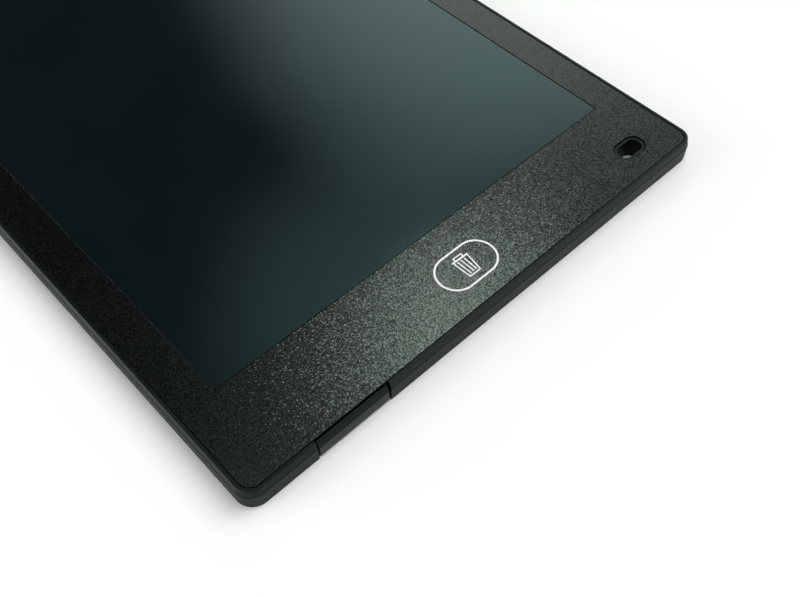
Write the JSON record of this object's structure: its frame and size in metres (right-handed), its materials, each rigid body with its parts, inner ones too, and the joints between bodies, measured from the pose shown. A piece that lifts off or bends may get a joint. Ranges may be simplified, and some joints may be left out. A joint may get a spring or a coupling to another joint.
{
  "type": "lcd writing tablet",
  "caption": "Flat LCD writing tablet with a textured bezel, a press-to-erase key, a pull-out coin cell drawer and a lanyard eyelet.",
  "frame": {"origin": "under the middle of the back, where the tablet rests", "axes": "+X to the right across the face, +Y from the key end to the top end, +Z out of the writing face"},
  "size_m": [0.1692, 0.2542, 0.0072],
  "materials": {
    "rear_cover": "satin moulded",
    "front_housing": "satin moulded",
    "battery_drawer": "satin moulded",
    "textured_face": "fine spark eroded texture",
    "erase_key": "fine spark eroded texture with a printed ring and bin symbol",
    "writing_film": "glossy hard coat",
    "black_backing": "matt black",
    "support_board": "plain",
    "tape": "adhesive",
    "film_tail": "amber film",
    "circuit_board": "solder mask",
    "coin_cell": "nickel plated",
    "contact_metal": "nickel plated",
    "lead": "insulated",
    "screw": "zinc plated",
    "chip": "moulded",
    "switch_cover": "tinned",
    "switch_plunger": "moulded",
    "boost_coil": "ferrite",
    "capacitor": "fired"
  },
  "bodies": {
    "tablet": {"rear_cover": "rear_cover", "front_housing": "front_housing", "front_panel": "textured_face", "writing_film": "writing_film", "black_backing": "black_backing", "support_board": "support_board", "panel_tape": "tape", "film_tape": "tape", "film_tail": "film_tail", "circuit_board": "circuit_board", "positive_contact": "contact_metal", "negative_contact": "contact_metal", "negative_lead": "lead", "board_screw_1": "screw", "board_screw_2": "screw", "switch_base": "chip", "switch_cover": "switch_cover", "switch_dome": "contact_metal", "driver_chip": "chip", "boost_coil": "boost_coil", "diode_1": "chip", "diode_2": "chip", "resistor_1": "chip", "resistor_2": "chip", "capacitor_1": "capacitor", "capacitor_2": "capacitor", "capacitor_3": "capacitor"},
    "key": {"erase_key": "erase_key"},
    "plunger": {"switch_plunger": "switch_plunger"},
    "drawer": {"battery_drawer": "battery_drawer", "coin_cell": "coin_cell"}
  },
  "joints": [
    {"name": "key_press", "type": "slide", "parent": "tablet", "child": "key", "axis": [0, 0, -1], "range_m": [0, 0.00025], "stiffness_N_per_m": 2500},
    {"name": "plunger_press", "type": "slide", "parent": "tablet", "child": "plunger", "axis": [0, 0, -1], "range_m": [0, 0.00025]},
    {"name": "drawer_slide", "type": "slide", "parent": "tablet", "child": "drawer", "axis": [0, -1, 0], "range_m": [0, 0.024]}
  ],
  "couplings": [
    {"joint": "plunger_press", "follows": "key_press", "ratio": 1}
  ]
}
